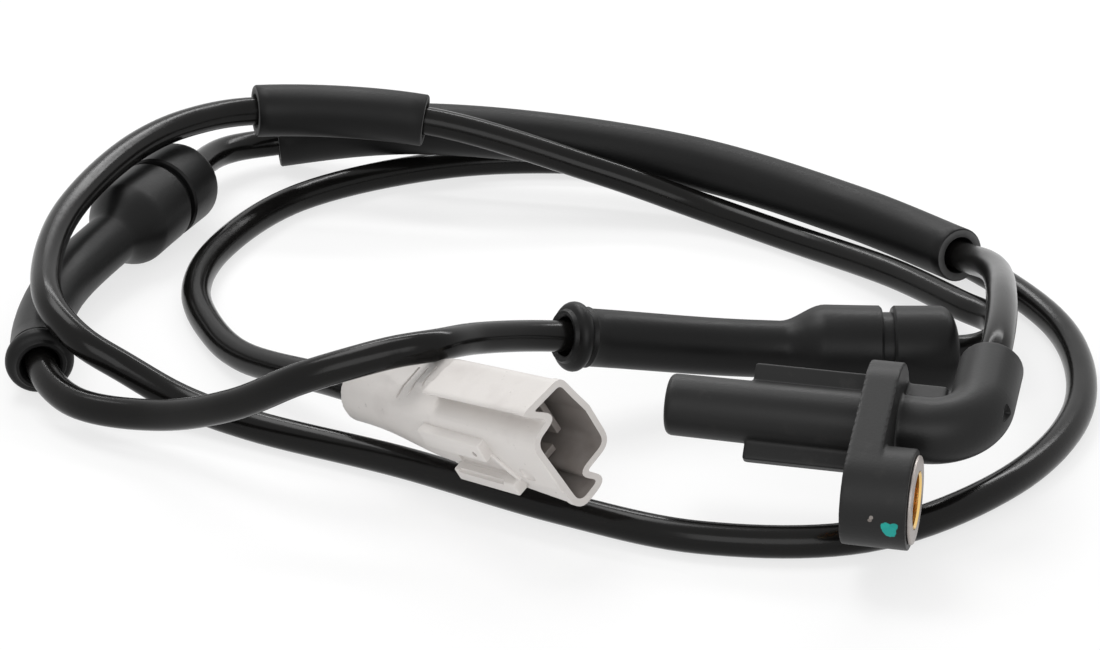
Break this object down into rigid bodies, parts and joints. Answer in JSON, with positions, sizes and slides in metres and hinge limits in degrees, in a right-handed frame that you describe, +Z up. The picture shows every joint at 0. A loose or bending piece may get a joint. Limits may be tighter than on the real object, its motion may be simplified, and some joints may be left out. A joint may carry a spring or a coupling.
{
  "type": "wheel speed sensor",
  "caption": "Inductive wheel speed sensor: finned barrel, bolt ear with brass bush, elbowed lead with rubber grommets and sleeves, and a keyed plug.",
  "frame": {"origin": "on the flange's seating face, on the line from the barrel's axis to the bolt hole, 9 mm from the barrel's axis", "axes": "+X out of the seating face's back, so the barrel points to -X; the bolt ear to the front, -Y, dipping 11 degrees; +Z up from the surface the lead lies on"},
  "size_m": [0.184, 0.1571, 0.0285],
  "materials": {
    "moulded_housing": "moulded glass-filled nylon, dark grey-black",
    "bush_brass": "machined brass",
    "pole_iron": "soft iron",
    "bobbin_nylon": "moulded nylon",
    "enamelled_copper": "enamelled copper wire",
    "magnet_metal": "sintered magnet",
    "terminal_brass": "stamped strip",
    "core_blue": "insulated core",
    "core_brown": "insulated core",
    "cable_jacket": "glossy extruded jacket",
    "sleeve_rubber": "matt extruded sleeve",
    "grommet_rubber": "moulded rubber",
    "plug_nylon": "pale warm-grey moulded nylon",
    "carrier_nylon": "moulded nylon"
  },
  "bodies": {
    "root": {"sensor_housing": "moulded_housing", "mounting_bush": "bush_brass", "pole_pin": "pole_iron", "coil_bobbin": "bobbin_nylon", "coil_winding": "enamelled_copper", "magnet": "magnet_metal", "head_terminal_a": "terminal_brass", "head_terminal_b": "terminal_brass", "head_core_a": "core_blue", "head_core_b": "core_brown", "cable": "cable_jacket", "sleeve_long": "sleeve_rubber", "sleeve_short": "sleeve_rubber", "grommet_left": "grommet_rubber", "grommet_right": "grommet_rubber", "plug_housing": "plug_nylon", "terminal_carrier": "carrier_nylon", "contact_pin_a": "terminal_brass", "contact_pin_b": "terminal_brass", "plug_core_a": "core_blue", "plug_core_b": "core_brown"}
  },
  "joints": []
}
